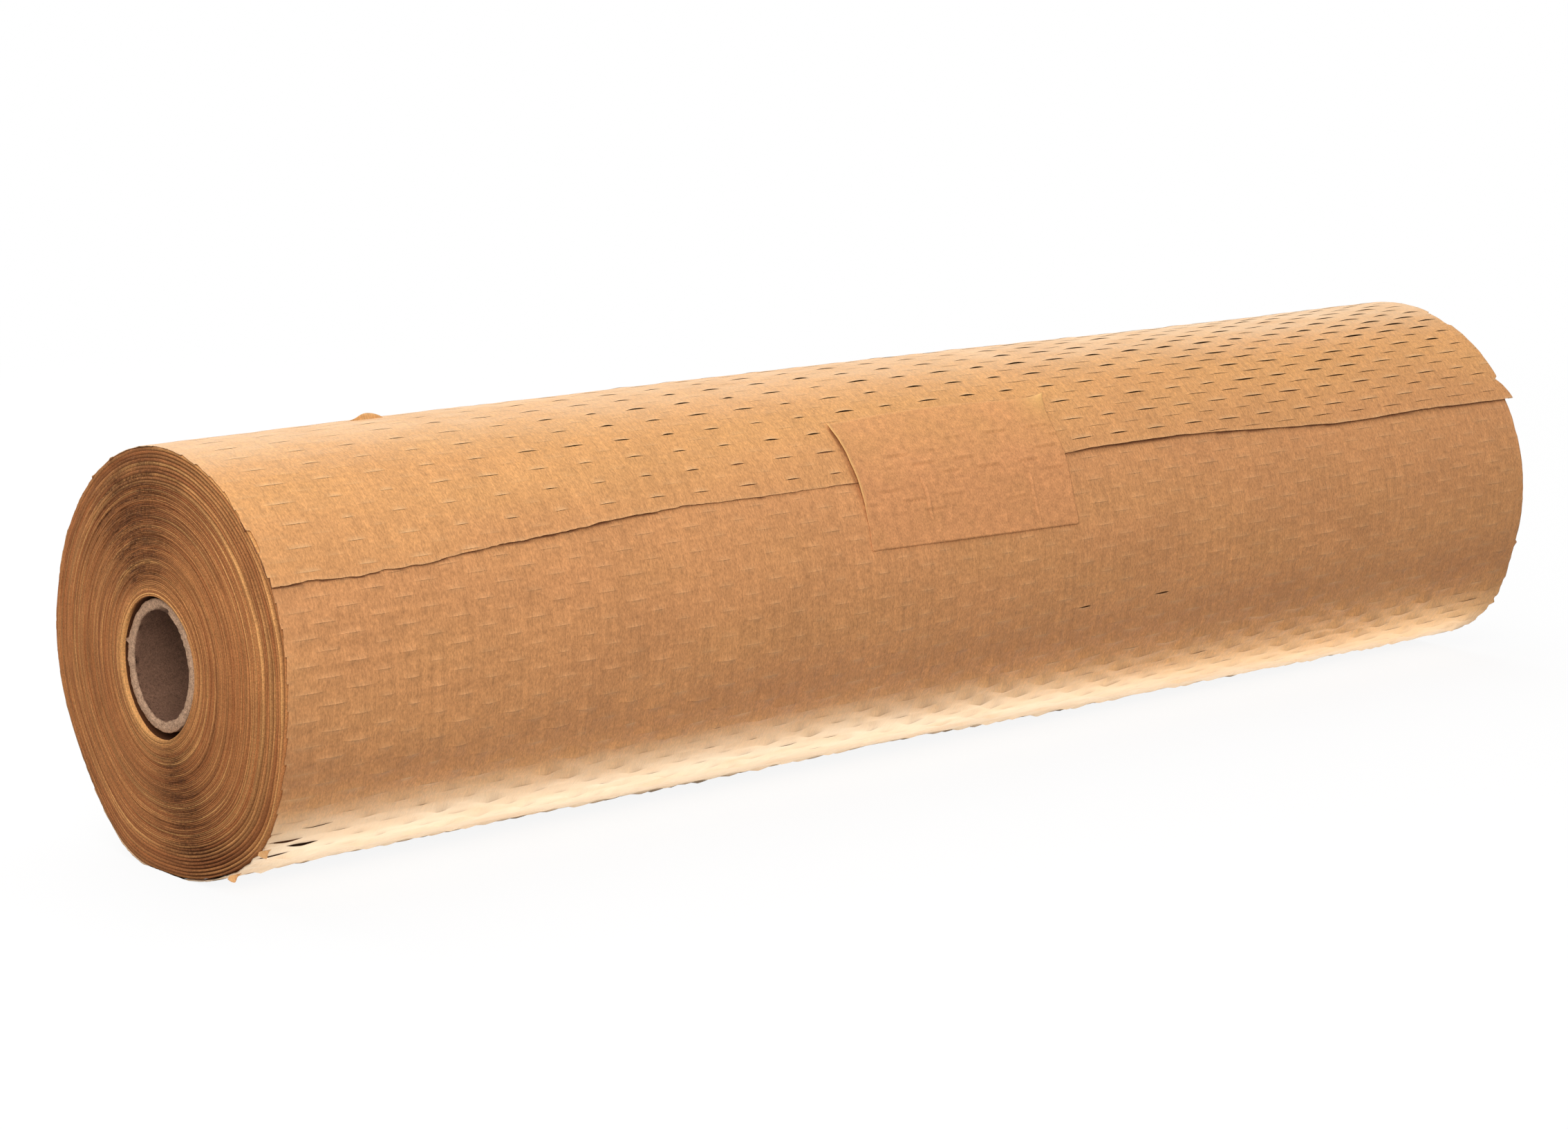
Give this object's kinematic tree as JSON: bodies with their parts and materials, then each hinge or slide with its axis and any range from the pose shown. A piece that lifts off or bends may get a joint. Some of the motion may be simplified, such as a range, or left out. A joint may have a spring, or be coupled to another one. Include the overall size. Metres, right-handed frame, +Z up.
{
  "type": "honeycomb paper roll",
  "caption": "Roll of die-cut honeycomb kraft paper wound on a cardboard core, its free edge held by a paper sticker, lying on its side.",
  "frame": {"origin": "centre of the roll's length on the surface that it rests on, below its axis", "axes": "+X along the roll's axis to the far end, -Y towards the free edge and the sticker, +Z up"},
  "size_m": [0.5038, 0.1194, 0.119],
  "materials": {
    "core_board": "matt grey-brown spiral-wound board with a fuzzy cut rim",
    "kraft_paper": "matt brown kraft paper, die cut with staggered slits",
    "sticker_paper": "matt brown kraft paper sticker, a little smoother than the web"
  },
  "bodies": {
    "root": {"core_tube": "core_board", "paper_roll": "kraft_paper", "closing_patch": "sticker_paper"}
  },
  "joints": []
}
